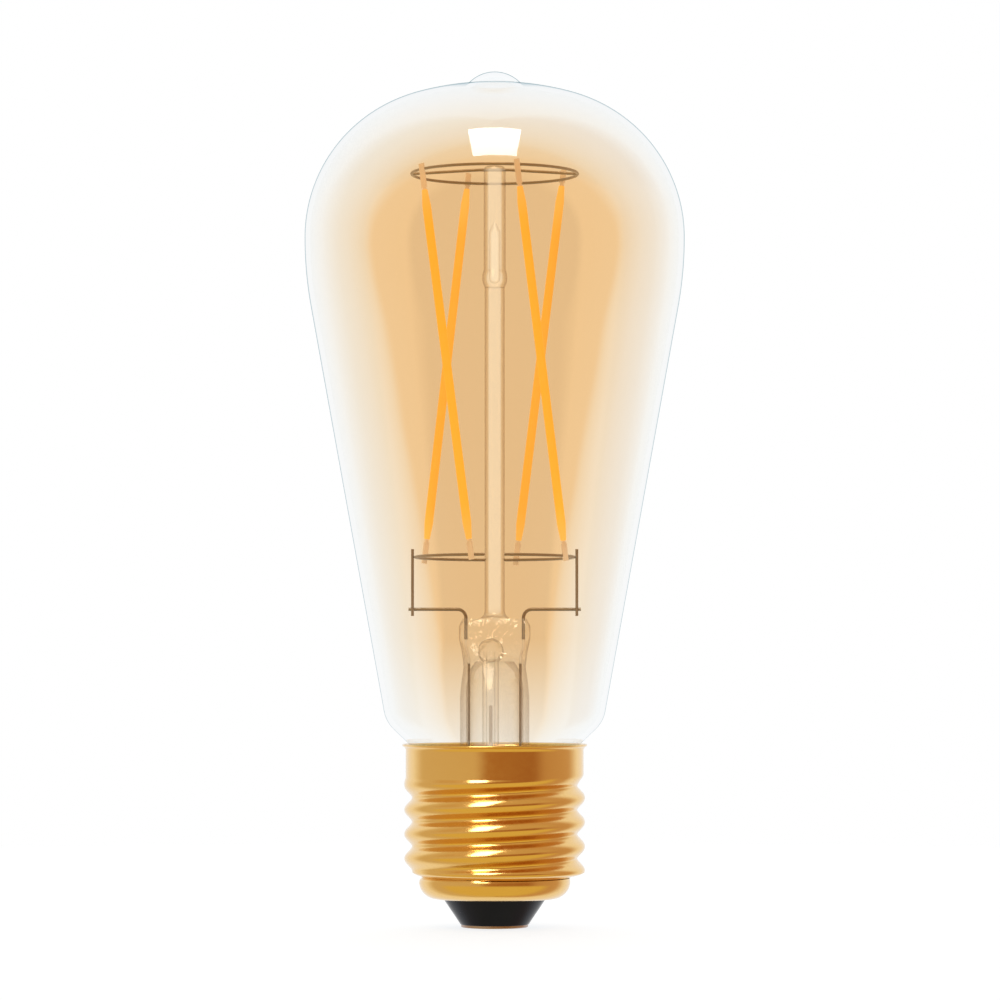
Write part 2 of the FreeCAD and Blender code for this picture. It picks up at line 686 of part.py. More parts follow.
def cap_generatrix(step=0.25):
    """Points of the cap's outside from the hole in its bottom to its rim, before threading."""
    points = []
    flat_end = CAP_BARREL_R - CAP_SHOULDER_R
    count = round((flat_end - CAP_HOLE_R) / step) + 1
    points += [(CAP_HOLE_R + (flat_end - CAP_HOLE_R) * k / count, CAP_BOTTOM_Z) for k in range(count)]
    count = round(CAP_SHOULDER_R * math.pi / 2 / step)
    for k in range(count):
        a = math.pi / 2 * k / count
        across = flat_end + CAP_SHOULDER_R * math.sin(a)
        points.append((across, CAP_BOTTOM_Z + CAP_SHOULDER_R * (1 - math.cos(a))))
    barrel_z = CAP_BOTTOM_Z + CAP_SHOULDER_R
    count = round((CAP_RIM_START_Z - barrel_z) / step)
    for k in range(count):
        z = barrel_z + (CAP_RIM_START_Z - barrel_z) * k / count
        dip = CAP_DIP * smooth_step(z, barrel_z, CAP_DIP_TOP_Z)
        swell = (THREAD_MAJOR_R - CAP_BARREL_R + CAP_DIP) * smooth_step(z, CAP_DIP_TOP_Z, CAP_SWELL_TOP_Z)
        drop = (THREAD_MAJOR_R - CAP_SKIRT_R) * smooth_step(z, *CAP_SKIRT_Z)
        points.append((CAP_BARREL_R - dip + swell - drop, z))
    count = 8
    for k in range(count + 1):
        a = math.radians(CAP_RIM_ANGLE) * k / count
        across = CAP_SKIRT_R + CAP_RIM_BEND_R * (1 - math.cos(a))
        points.append((across, CAP_RIM_START_Z + CAP_RIM_BEND_R * math.sin(a)))
    return points


def groove_depth(z, turn):
    """How deep the rolled groove is at a height and a share of a turn from +X."""
    place = (z - THREAD_FIRST_CREST_Z) / THREAD_PITCH - turn
    wave = (1 - math.cos(2 * math.pi * place)) / 2
    centre_z = THREAD_FIRST_CREST_Z + THREAD_PITCH * (turn + math.floor(place) + 0.5)
    fade = smooth_step(centre_z, *THREAD_START_Z) * (1 - smooth_step(centre_z, *THREAD_END_Z))
    return (THREAD_MAJOR_R - THREAD_MINOR_R) * wave * fade


def cap_rows(inset, count=60):
    """Rows of poles for the cap's outside, or for its inside when inset by the wall."""
    profile = cap_generatrix()
    # A turn of poles makes a circle slightly smaller than the one they lie on.
    swell = 3 / (2 + math.cos(2 * math.pi / count))
    rows = []
    for k, (r, z) in enumerate(profile):
        r_before, z_before = profile[max(k - 1, 0)]
        r_after, z_after = profile[min(k + 1, len(profile) - 1)]
        length = math.hypot(r_after - r_before, z_after - z_before)
        out_r, out_z = (z_after - z_before) / length, -(r_after - r_before) / length
        row = []
        for j in range(count):
            depth = inset + groove_depth(z, j / count)
            row.append(polar((r - out_r * depth) * swell, 360 * j / count, z - out_z * depth))
        rows.append(row)
    return rows


def make_cap():
    """Thin threaded cap, rolled from sheet, so that the thread shows inside as well."""
    outside = round_surface(cap_rows(0.0)).toShape()
    inside = round_surface(cap_rows(CAP_WALL)).toShape()
    ends = [Part.makeRuledSurface(a, b) for a, b in zip(edge_loops(outside), edge_loops(inside))]
    return sewn([outside, inside] + ends)


def make_cement():
    """Cement between the glass neck and the cap's skirt."""
    outer = CAP_SKIRT_R - CAP_WALL
    return revolve_points([
        (NECK_R, CEMENT_LOW_Z), (NECK_R, CEMENT_NECK_Z), (NECK_R + CEMENT_TOP_GAP, CEMENT_TOP_Z),
        (outer, CEMENT_TOP_Z), (outer, CEMENT_LOW_Z),
    ])


def make_insulator():
    """Black insulating cone, which fills the hole in the cap and spreads behind its shoulder."""
    bend = in_section(CAP_BARREL_R - CAP_SHOULDER_R, CAP_BOTTOM_Z + CAP_SHOULDER_R)
    spread = on_circle(bend, INSULATOR_BEND_R, -45)
    seat_z = CAP_BOTTOM_Z + CAP_WALL + INSULATOR_GAP
    under_z = CAP_BOTTOM_Z - INSULATOR_GAP
    neck_r = CAP_HOLE_R - INSULATOR_GAP
    edges = polyline([in_section(*p) for p in (
        (EYELET_R, INSULATOR_TIP_Z),
        (INSULATOR_TIP_R - INSULATOR_EDGE, INSULATOR_TIP_Z),
        (INSULATOR_TIP_R, INSULATOR_TIP_Z + INSULATOR_EDGE),
        (INSULATOR_CONE_R, CAP_BOTTOM_Z - INSULATOR_EDGE),
        (INSULATOR_CONE_R, under_z),
        (neck_r, under_z),
        (neck_r, seat_z),
        (bend.x, seat_z),
    )])
    edges.append(arc(bend, INSULATOR_BEND_R, -90, -45))
    edges += polyline([spread, in_section(EYELET_R, spread.z), in_section(EYELET_R, INSULATOR_TIP_Z)])
    return revolve(edges)


def make_contact():
    """Brass eyelet: a flat disc with a tube up through the insulator."""
    edge = in_section(CONTACT_R - CONTACT_EDGE_R, CONTACT_EDGE_R)
    edges = polyline([in_section(*p) for p in (
        (CONTACT_R, CONTACT_EDGE_R),
        (CONTACT_R, INSULATOR_TIP_Z),
        (EYELET_R, INSULATOR_TIP_Z),
        (EYELET_R, EYELET_TOP_Z),
        (EYELET_BORE_R, EYELET_TOP_Z),
        (EYELET_BORE_R, EYELET_FLARE),
        (EYELET_BORE_R + EYELET_FLARE, 0.0),
        (edge.x, 0.0),
    )])
    edges.append(arc(edge, CONTACT_EDGE_R, -90, 0))
    return revolve(edges)


def make_contact_solder():
    """Solder that fills the eyelet's mouth and holds the live wire."""
    mouth_r = EYELET_BORE_R + EYELET_FLARE - SOLDER_LOW_Z
    return revolve_points([
        (0, SOLDER_LOW_Z), (mouth_r, SOLDER_LOW_Z), (EYELET_BORE_R, EYELET_FLARE),
        (EYELET_BORE_R, SOLDER_TOP_Z), (0, SOLDER_TOP_Z),
    ])


# ---------- driver ----------


def make_sleeve():
    """Plastic cup that keeps the driver apart from the cap."""
    low = INSULATOR_TOP_Z
    cone_top = low + SLEEVE_CONE_RISE
    floor_r = SLEEVE_R - SLEEVE_CONE_RUN
    return revolve_points([
        (SLEEVE_HOLE_R, low), (floor_r, low), (SLEEVE_R, cone_top), (SLEEVE_R, SLEEVE_TOP_Z),
        (SLEEVE_R - SLEEVE_WALL, SLEEVE_TOP_Z), (SLEEVE_R - SLEEVE_WALL, cone_top),
        (floor_r, low + SLEEVE_WALL), (SLEEVE_HOLE_R, low + SLEEVE_WALL),
    ])


def make_board(holes):
    board = cylinder(BOARD_R, BOARD_Z, BOARD_TOP_Z)
    for x, y, radius in holes:
        board = board.cut(cylinder(radius, BOARD_Z - 1, BOARD_TOP_Z + 1, x, y))
    return board


def make_radio():
    """Wireless board, its shield can, the chips under the can and the chip beside it."""
    length, width, thick = RADIO_BOX
    middle_y = RADIO_Y + width / 2
    board = block(RADIO_BOX, 0, middle_y, BOARD_TOP_Z)
    top = BOARD_TOP_Z + thick
    can = block(SHIELD_BOX, SHIELD_X, middle_y, top, SHIELD_EDGE)
    across, along, high = SHIELD_BOX
    room = (across - 2 * SHIELD_WALL, along - 2 * SHIELD_WALL, high - SHIELD_WALL)
    can = can.cut(block(room, SHIELD_X, middle_y, top))
    chips = [block(size, SHIELD_X + offset, middle_y, top) for size, offset in RADIO_CHIPS]
    flash = block(FLASH_BOX, FLASH_X, middle_y, top)
    return board, can.Solids[0], chips, flash


def make_choke():
    """Drum core and its copper winding, hanging under the board."""
    high, low = BOARD_Z, BOARD_Z - CHOKE_HEIGHT
    under, over = low + CHOKE_FLANGE_THICK, high - CHOKE_FLANGE_THICK
    core = revolve_points([
        (0, low), (CHOKE_FLANGE_R, low), (CHOKE_FLANGE_R, under), (CHOKE_WAIST_R, under),
        (CHOKE_WAIST_R, over), (CHOKE_FLANGE_R, over), (CHOKE_FLANGE_R, high), (0, high),
    ])
    winding = ring(CHOKE_WINDING_R, CHOKE_WAIST_R, under, over)
    for shape in (core, winding):
        shape.translate(Vector(*CHOKE_XY, 0))
    return core, winding


def make_capacitor():
    """Aluminium can with a rubber bung on the board's side."""
    radius, low = CAN_R, BOARD_Z - CAN_HEIGHT
    bung_low = BOARD_Z - BUNG_DEPTH
    bead_z = bung_low - CAN_BEAD_DROP
    lip_z = BOARD_Z - CAN_LIP_GAP
    can = revolve_points([
        (0, low), (radius - CAN_EDGE, low), (radius, low + CAN_EDGE), (radius, bead_z - CAN_BEAD_R),
        (radius - CAN_BEAD_DEPTH, bead_z), (radius, bead_z + CAN_BEAD_R), (radius, lip_z),
        (radius - CAN_WALL, lip_z), (radius - CAN_WALL, bung_low), (0, bung_low),
    ])
    bung = cylinder(radius - CAN_WALL, bung_low, BOARD_Z)
    for shape in (can, bung):
        shape.translate(Vector(*CAN_XY, 0))
    return can, bung


def make_fuse_resistor():
    """Fusible resistor lying under the board, with its two bent legs."""
    half, z = FUSE_LENGTH / 2, BOARD_Z - FUSE_DROP
    body = Part.makeCylinder(FUSE_R, FUSE_LENGTH, Vector(-half, FUSE_Y, z), Vector(1, 0, 0))
    body = body.makeFillet(FUSE_EDGE_R, body.Edges)
    legs = []
    for side in (-1, 1):
        knee = Vector(side * (half + FUSE_LEG_REACH), FUSE_Y, z)
        route = [Vector(side * half, FUSE_Y, z), knee, Vector(knee.x, FUSE_Y, BOARD_Z)]
        legs.append(bent_wire(route, FUSE_LEG_R, FUSE_LEG_BEND_R))
    return body, legs


def make_surface_parts():
    """The small parts soldered flat on the board: rectifier, controller, switch and chips."""
    packages = [
        block(size, x, y, BOARD_Z - size[2], PACKAGE_EDGE)
        for size, x, y in (RECTIFIER, CONTROLLER, SWITCH)
    ]
    small = [block(SMALL_CHIP, x, y, BOARD_Z - SMALL_CHIP[2]) for x, y in SMALL_CHIP_PLACES]
    small += [block(TOP_CHIP, x, TOP_CHIP_Y, BOARD_TOP_Z) for x in TOP_CHIP_X]
    return (*packages, small)


def make_live_wire():
    """Insulated wire from the board down into the eyelet."""
    landing = Vector(*LIVE_LANDING, BOARD_Z)
    points = [
        Vector(0, 0, SOLDER_TOP_Z),
        Vector(0, 0, LIVE_BEND_Z),
        Vector(landing.x, landing.y, LIVE_KNEE_Z),
        landing,
    ]
    return bent_wire(points, HOOKUP_R, HOOKUP_BEND_R)


def make_neutral_wire():
    """Insulated wire from the board over the sleeve's edge to the cap's inner wall."""
    z = SLEEVE_TOP_Z + HOOKUP_R
    points = [Vector(0, NEUTRAL_Y, BOARD_TOP_Z), Vector(0, NEUTRAL_Y, z), Vector(0, NEUTRAL_REACH, z)]
    return bent_wire(points, HOOKUP_R, HOOKUP_BEND_R)


# ---------- build ----------


def main():
    os.makedirs("parts", exist_ok=True)
    sides = (("left", -1), ("right", 1))
    leads = {name: make_lead(side) for name, side in sides}
    dumets = {name: make_dumet(side) for name, side in sides}
    top_ring = make_top_ring()
    arm = make_top_arm(top_ring)
    ring_starts = (("left", 90), ("right", 270))
    low_rings = {name: make_low_ring(start + LOW_RING_GAP) for name, start in ring_starts}
    outer_leads = {name: make_outer_lead(side) for name, side in sides}
    sealed = [*leads.values(), *dumets.values(), *outer_leads.values()]

    export("glass_envelope", make_envelope())
    export("stem_flare_and_press", make_stem(sealed))
    export("exhaust_tube", make_exhaust_tube())
    export("stem_rod", make_rod())
    export("stem_rod_tip", make_rod_tip([arm]))

    export("upper_filament_ring", top_ring)
    export("upper_ring_arm", arm)
    for name, side in sides:
        export(f"lower_half_ring_{name}", low_rings[name])
        export(f"support_post_{name}", make_post(side))
        export(f"inner_lead_{name}", leads[name])
        export(f"dumet_seal_wire_{name}", dumets[name])
        export(f"outer_lead_{name}", outer_leads[name])

    ring_wires = Part.makeCompound([top_ring, *low_rings.values()])
    for number, layout in enumerate(FILAMENTS, 1):
        for piece, solids in make_filament(*layout, ring_wires).items():
            export(f"filament_{number}_{piece}", *solids)

    export("screw_cap", make_cap())
    export("cap_insulator", make_insulator())
    export("centre_contact", make_contact())
    export("contact_solder", make_contact_solder())
    export("basing_cement", make_cement())

    lead_hole = OUTER_LEAD_R + 0.02
    board_holes = [(side * OUTER_LEAD_X, 0, lead_hole) for _, side in sides]
    export("driver_sleeve", make_sleeve())
    export("driver_board", make_board(board_holes))
    radio_board, shield, radio_chips, flash_chip = make_radio()
    export("radio_board", radio_board)
    export("radio_shield", shield)
    export("radio_chips", *radio_chips)
    export("radio_flash_chip", flash_chip)
    antenna_foot = Vector(EXHAUST_X, ANTENNA_Y, BOARD_TOP_Z)
    antenna_tip = Vector(EXHAUST_X, ANTENNA_Y, ANTENNA_TOP_Z)
    export("antenna_wire", straight_wire(antenna_foot, antenna_tip, ANTENNA_R))
    core, winding = make_choke()
    export("choke_core", core)
    export("choke_winding", winding)
    can, bung = make_capacitor()
    export("capacitor_can", can)
    export("capacitor_bung", bung)
    fuse, legs = make_fuse_resistor()
    export("fuse_resistor", fuse)
    export("fuse_resistor_legs", *legs)
    rectifier, controller, switch, small = make_surface_parts()
    export("bridge_rectifier", rectifier)
    export("driver_controller", controller)
    export("driver_switch", switch)
    export("surface_mount_parts", *small)
    export("live_wire", make_live_wire())
    export("neutral_wire", make_neutral_wire())


main()
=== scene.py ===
import json
import math

import bmesh
import bpy
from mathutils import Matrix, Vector


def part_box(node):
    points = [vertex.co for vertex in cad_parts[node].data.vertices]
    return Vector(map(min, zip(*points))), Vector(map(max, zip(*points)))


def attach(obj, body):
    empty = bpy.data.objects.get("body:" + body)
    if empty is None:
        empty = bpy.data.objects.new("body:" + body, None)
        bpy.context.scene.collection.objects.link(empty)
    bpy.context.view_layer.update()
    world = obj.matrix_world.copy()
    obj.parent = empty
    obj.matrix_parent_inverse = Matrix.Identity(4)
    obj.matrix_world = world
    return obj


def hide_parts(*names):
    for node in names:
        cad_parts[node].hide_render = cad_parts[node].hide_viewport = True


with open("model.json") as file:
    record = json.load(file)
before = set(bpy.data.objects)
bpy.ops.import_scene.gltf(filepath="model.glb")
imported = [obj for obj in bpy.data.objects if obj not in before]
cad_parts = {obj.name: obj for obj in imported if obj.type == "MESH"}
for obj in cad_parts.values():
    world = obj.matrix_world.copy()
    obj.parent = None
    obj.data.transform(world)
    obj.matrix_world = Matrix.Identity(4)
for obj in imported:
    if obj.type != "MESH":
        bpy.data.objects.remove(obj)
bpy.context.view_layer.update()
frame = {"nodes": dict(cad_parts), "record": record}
mm = 0.001
print("frame loaded")


class Wire:  # a shader socket that Python arithmetic can be done on
    def __init__(self, finish, socket):
        self.finish = finish
        self.socket = socket

    def maths(self, operation, other):
        return self.finish.node("ShaderNodeMath", {"operation": operation}, {0: self, 1: other})

    def flipped(self, operation, other):
        return self.finish.node("ShaderNodeMath", {"operation": operation}, {0: other, 1: self})

    def __add__(self, other):
        return self.maths("ADD", other)

    def __radd__(self, other):
        return self.flipped("ADD", other)

    def __sub__(self, other):
        return self.maths("SUBTRACT", other)

    def __rsub__(self, other):
        return self.flipped("SUBTRACT", other)

    def __mul__(self, other):
        return self.maths("MULTIPLY", other)

    def __rmul__(self, other):
        return self.flipped("MULTIPLY", other)

    def __truediv__(self, other):
        return self.maths("DIVIDE", other)


class Finish:  # a node tree, of a material or the world, with its nodes made by one method
    def __init__(self, owner, target="ShaderNodeOutputMaterial"):
        owner.use_nodes = True
        self.owner = owner
        self.tree = owner.node_tree
        self.tree.nodes.clear()
        self.target = self.tree.nodes.new(target)

    def feed(self, socket, value):
        if isinstance(value, Wire):
            self.tree.links.new(value.socket, socket)
        elif socket.type == "RGBA" and len(value) == 3:
            socket.default_value = (*value, 1.0)
        else:
            socket.default_value = value

    def node(self, kind, settings=None, inputs=None, output=0):
        made = self.tree.nodes.new(kind)
        for name, value in (settings or {}).items():
            if name == "stops":
                self.setStops(made.color_ramp, value)
            else:
                setattr(made, name, value)
        for name, value in (inputs or {}).items():
            self.feed(made.inputs[name], value)
        return Wire(self, made.outputs[output])

    def setStops(self, ramp, stops):
        while len(ramp.elements) < len(stops):
            ramp.elements.new(0.5)
        for element, (place, colour) in zip(ramp.elements, stops):
            element.position = place
            element.color = (*colour, 1.0)

    def place(self, scale=(1, 1, 1)):
        coords = self.node("ShaderNodeTexCoord", output="Object")
        return self.node("ShaderNodeMapping", {}, {"Vector": coords, "Scale": scale})

    def height(self):
        return self.node("ShaderNodeSeparateXYZ", {}, {0: self.place()}, "Z")

    def noise(self, scale, detail=3.0, stretch=(1, 1, 1)):
        inputs = {"Vector": self.place(stretch), "Scale": scale, "Detail": detail}
        return self.node("ShaderNodeTexNoise", {}, inputs, "Fac")

    def blend(self, share, low, high):
        settings = {"data_type": "RGBA", "blend_type": "MIX"}
        return self.node("ShaderNodeMix", settings, {0: share, 6: low, 7: high}, 2)

    def ramp(self, share, stops):
        return self.node("ShaderNodeValToRGB", {"stops": stops}, {"Fac": share}, "Color")

    def span(self, value, low, high, outLow=0.0, outHigh=1.0, kind="SMOOTHSTEP"):
        inputs = {"Value": value, "From Min": low, "From Max": high}
        inputs.update({"To Min": outLow, "To Max": outHigh})
        return self.node("ShaderNodeMapRange", {"interpolation_type": kind}, inputs)

    def mixed(self, share, first, second):
        return self.node("ShaderNodeMixShader", {}, {"Fac": share, 1: first, 2: second})

    def bump(self, height, strength, distance):
        inputs = {"Height": height, "Strength": strength, "Distance": distance}
        return self.node("ShaderNodeBump", {}, inputs)

    def surface(self, shader):
        self.feed(self.target.inputs["Surface"], shader)
        return self.owner

    def principled(self, **values):
        inputs = {name.replace("_", " "): value for name, value in values.items()}
        return self.surface(self.node("ShaderNodeBsdfPrincipled", {}, inputs))


def newFinish(name):
    return Finish(bpy.data.materials.new(name))


amber = {
    "tint": (0.967, 0.866, 0.722),  # of one crossing of the glass's outside or inside
    "middleShade": (0.949, 0.945, 0.944),
    "middleEdge": (0.10, 0.13),  # facing share where the darker middle ends
    "clearTint": (0.985, 0.992, 0.995),
    "clearStops": [
        (0.15, 0.0), (0.25, 0.04), (0.275, 0.28), (0.327, 0.44), (0.40, 0.58), (0.49, 0.69),
        (0.56, 0.76), (0.80, 0.91), (1.0, 0.95),
    ],
    "lowClear": (104 * mm, 42 * mm, 0.0, 0.14),  # the tint fades sooner towards the neck
    "highClear": (104 * mm, 118 * mm, 0.0, 0.07),  # and on the crown
    "neckClear": (43 * mm, 26 * mm, 0.0, 0.8),  # the neck is nearly untinted
    "tipHeight": (125.6 * mm, 126.5 * mm),
    "flatten": (44 * mm, 35 * mm, 1.0, 0.0),  # below the taper only the turn round the axis counts
    "mirrorStops": [(0.25, 0.0), (0.28, 0.09), (0.50, 0.14), (0.80, 0.35), (1.0, 0.50)],
    "mirrorDome": (107 * mm, 111 * mm, 0.0, 0.13),
    "mirrorColour": (0.90, 0.925, 0.94),
    "rimTint": (0.52, 0.64, 0.68),
    "rimEdge": (0.88, 0.98),
    "waveScale": 60.0,
    "waveShare": 0.03,
    "mirrorRough": 0.04,
    "tipRim": 0.10,  # the outline is wider on the small sealed tip
}


def greys(stops):
    return [(place, (grey, grey, grey)) for place, grey in stops]


def makeAmber(name, outside):
    a = amber
    finish = newFinish(name)
    height = finish.height()
    normal = finish.node("ShaderNodeNewGeometry", output="Normal")
    upright = finish.span(height, *a["flatten"])
    keep = finish.node("ShaderNodeCombineXYZ", {}, {0: 1.0, 1: 1.0, 2: upright})
    flat = finish.node("ShaderNodeVectorMath", {"operation": "MULTIPLY"}, {0: normal, 1: keep})
    flat = finish.node("ShaderNodeVectorMath", {"operation": "NORMALIZE"}, {0: flat})
    facing = finish.node("ShaderNodeLayerWeight", {}, {"Blend": 0.5, "Normal": flat}, "Facing")
    low = finish.span(height, *a["lowClear"], "LINEAR")
    high = finish.span(height, *a["highClear"], "LINEAR")
    moved = facing + low + high
    tip = finish.span(height, *a["tipHeight"])
    wave = a["waveShare"] * (finish.noise(a["waveScale"], 2.0) - 0.5)
    clearness = finish.ramp(moved + wave, greys(a["clearStops"])).maths("MAXIMUM", tip)
    neck = finish.span(height, *a["neckClear"], "LINEAR")
    clearness = neck + clearness * (1 - neck)
    tinted = finish.node("ShaderNodeBsdfTransparent", {}, {"Color": a["tint"]})
    if not outside:
        shaded = [tint * shade for tint, shade in zip(a["tint"], a["middleShade"])]
        middle = finish.node("ShaderNodeBsdfTransparent", {}, {"Color": shaded})
        tinted = finish.mixed(finish.span(facing, *a["middleEdge"]), middle, tinted)
    clear = finish.node("ShaderNodeBsdfTransparent", {}, {"Color": a["clearTint"]})
    glass = finish.mixed(clearness, tinted, clear)
    if outside:
        back = finish.node("ShaderNodeNewGeometry", output="Backfacing")
        dome = finish.span(height, *a["mirrorDome"])
        share = finish.ramp(facing + dome, greys(a["mirrorStops"])) * (1 - back)
        mirror = {"Color": a["mirrorColour"], "Roughness": a["mirrorRough"]}
        gloss = finish.node("ShaderNodeBsdfGlossy", {}, mirror)
        glass = finish.mixed(share, glass, gloss)
        rim = finish.node("ShaderNodeBsdfTransparent", {}, {"Color": a["rimTint"]})
        edge = finish.span(facing + a["tipRim"] * tip, *a["rimEdge"])
        glass = finish.mixed(edge, glass, rim)
    return finish.surface(glass)


stemLook = {
    "tint": (0.985, 0.985, 0.98),
    "edgeTint": (0.78, 0.74, 0.70),
    "edge": (0.22, 0.80),
    "mirrorStops": [(0.0, 0.05), (0.5, 0.10), (1.0, 0.35)],
    "paintedGlow": (1.0, 1.0, 0.97),  # a painted highlight: emission standing in for soft light caught in the middle of the round rod
    "paintedGlowPower": 1.25,
    "paintedGlowMost": 0.29,
    "pressLow": (38.5 * mm, 40.5 * mm),
    "pressHigh": (47.0 * mm, 45.5 * mm),
    "paintedGlowEdge": (0.30, 0.12),
    "paintedGlowBelow": 0.15,  # share of the painted highlight that stays below the rod
    "rodFoot": (45.0 * mm, 48.0 * mm),
    "rippleScale": 480.0,
    "rippleBelow": 0.03,
    "rippleDepth": 0.9 * mm,
    "mirrorRough": 0.08,
}


def makeStemGlass():
    k = stemLook
    finish = newFinish("stemGlass")
    height = finish.height()
    press = finish.span(height, *k["pressLow"]) * finish.span(height, *k["pressHigh"])
    ripple = finish.noise(k["rippleScale"], 2.0) * (k["rippleBelow"] + press)
    normal = finish.bump(ripple, 1.0, k["rippleDepth"])
    facing = finish.node("ShaderNodeLayerWeight", {}, {"Blend": 0.5, "Normal": normal}, "Facing")
    clear = finish.node("ShaderNodeBsdfTransparent", {}, {"Color": k["tint"]})
    dark = finish.node("ShaderNodeBsdfTransparent", {}, {"Color": k["edgeTint"]})
    glass = finish.mixed(finish.span(facing, *k["edge"]), clear, dark)
    mirror = {"Color": (1.0, 1.0, 1.0), "Roughness": k["mirrorRough"], "Normal": normal}
    gloss = finish.node("ShaderNodeBsdfGlossy", {}, mirror)
    glass = finish.mixed(finish.ramp(facing, greys(k["mirrorStops"])), glass, gloss)
    # painted highlight: an emission mixed into the middle of the rod, and more faintly below it,
    # standing in for soft light
    paintedGlow = finish.node("ShaderNodeEmission", {}, {"Color": k["paintedGlow"], "Strength": k["paintedGlowPower"]})
    rod = k["paintedGlowBelow"] + (1 - k["paintedGlowBelow"]) * finish.span(height, *k["rodFoot"])
    middle = finish.span(facing, *k["paintedGlowEdge"], 0.0, k["paintedGlowMost"])
    return finish.surface(finish.mixed(middle * rod, glass, paintedGlow))


def makeMetal(name, light, dark, rough, grain=900.0, bumpStrength=0.1, metallic=1.0):
    finish = newFinish(name)
    patch = finish.noise(grain * 0.25, 3.0)
    fine = finish.noise(grain, 3.0)
    return finish.principled(
        Base_Color=finish.blend(patch, dark, light), Metallic=metallic,
        Roughness=finish.span(fine, 0.3, 0.7, rough * 0.8, rough * 1.25),
        Normal=finish.bump(fine, bumpStrength, 0.02 * mm),
    )


# paintedGlow sets an emission in the part's own tint: a painted glow for parts that are no lamp
def makePlain(name, light, dark, rough, grain=600.0, bumpStrength=0.15, paintedGlow=0.0):
    finish = newFinish(name)
    fine = finish.noise(grain, 4.0)
    tint = finish.blend(finish.noise(grain * 0.2), dark, light)
    return finish.principled(
        Base_Color=tint, Emission_Color=tint, Emission_Strength=paintedGlow,
        Roughness=finish.span(fine, 0.3, 0.7, rough * 0.85, rough * 1.15),
        Normal=finish.bump(fine, bumpStrength, 0.03 * mm),
    )


capLook = {
    "light": (0.87, 0.58, 0.20), "dark": (0.83, 0.52, 0.165), "rough": (0.13, 0.20),
    "patchScale": 160.0, "rollScale": 2600.0, "grainScale": 1500.0, "grainDepth": 0.012 * mm,
    "lacquer": 0.35,
}


def makeCapBrass():
    b = capLook
    finish = newFinish("rolledBrass")
    patch = finish.noise(b["patchScale"], 3.0, (1, 1, 2.0))
    lines = finish.noise(b["rollScale"], 2.0, (0.05, 0.05, 1.0))  # fine lines round the cap
    fine = finish.noise(b["grainScale"], 4.0)
    tint = finish.blend(patch, b["dark"], b["light"])
    return finish.principled(
        Base_Color=tint, Metallic=1.0,
        Roughness=finish.span(fine + 0.4 * patch, 0.5, 0.9, *b["rough"]),
        Normal=finish.bump(lines + 0.5 * fine, 0.12, b["grainDepth"]),
        Coat_Weight=b["lacquer"], Coat_Roughness=0.08,
    )


glow = {
    "front": (0.59, 0.385, 0.045), "back": (0.56, 0.35, 0.06), "end": (0.58, 0.42, 0.12),
    "power": 1.0, "coat": (0.80, 0.42, 0.08), "fade": 6 * mm, "backFilaments": (3, 4),
}


def makeGlow(name, middle):
    finish = newFinish(name)
    height = finish.height()
    low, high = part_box("filament_1_phosphor")[0].z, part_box("filament_1_phosphor")[1].z
    fade = glow["fade"]
    fromEnd = finish.span(height, low, low + fade) * finish.span(height, high, high - fade)
    grain = finish.noise(900.0, 3.0)
    tint = finish.blend(fromEnd * finish.span(grain, 0.2, 0.6, 0.85, 1.0), glow["end"], middle)
    return finish.principled(
        Base_Color=glow["coat"], Roughness=0.45, IOR=1.2, Emission_Color=tint,
        Emission_Strength=glow["power"], Normal=finish.bump(grain, 0.3, 0.08 * mm),
    )


